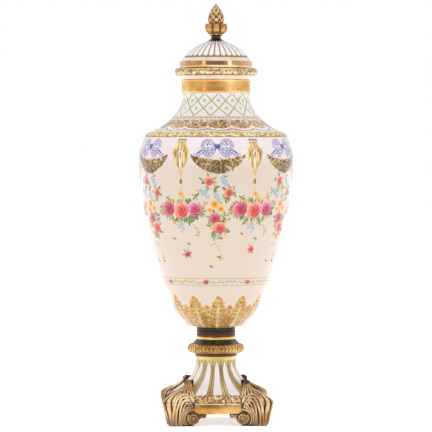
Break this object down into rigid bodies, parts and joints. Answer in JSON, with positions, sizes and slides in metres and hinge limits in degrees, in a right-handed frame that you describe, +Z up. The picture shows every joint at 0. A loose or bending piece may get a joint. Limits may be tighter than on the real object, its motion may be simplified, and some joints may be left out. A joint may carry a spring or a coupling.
{
  "type": "lidded floor vase",
  "caption": "Tall covered porcelain urn with a round belly, narrow neck and domed lid with bud finial, on a fluted square foot with leaf-carved corners.",
  "frame": {"origin": "on the ground under the middle of the square foot", "axes": "+Z up along the axis of the vase, -Y towards the front side of the foot, +X to the right seen from the front"},
  "size_m": [0.307, 0.307, 0.8363],
  "materials": {
    "gilded_foot": "gloss glaze with burnished gilding",
    "painted_porcelain": "gloss glaze with enamel flowers and gilding",
    "gilded_lid": "gloss glaze with burnished gilding"
  },
  "bodies": {
    "root": {"foot": "gilded_foot", "body": "painted_porcelain", "lid": "gilded_lid"}
  },
  "joints": []
}
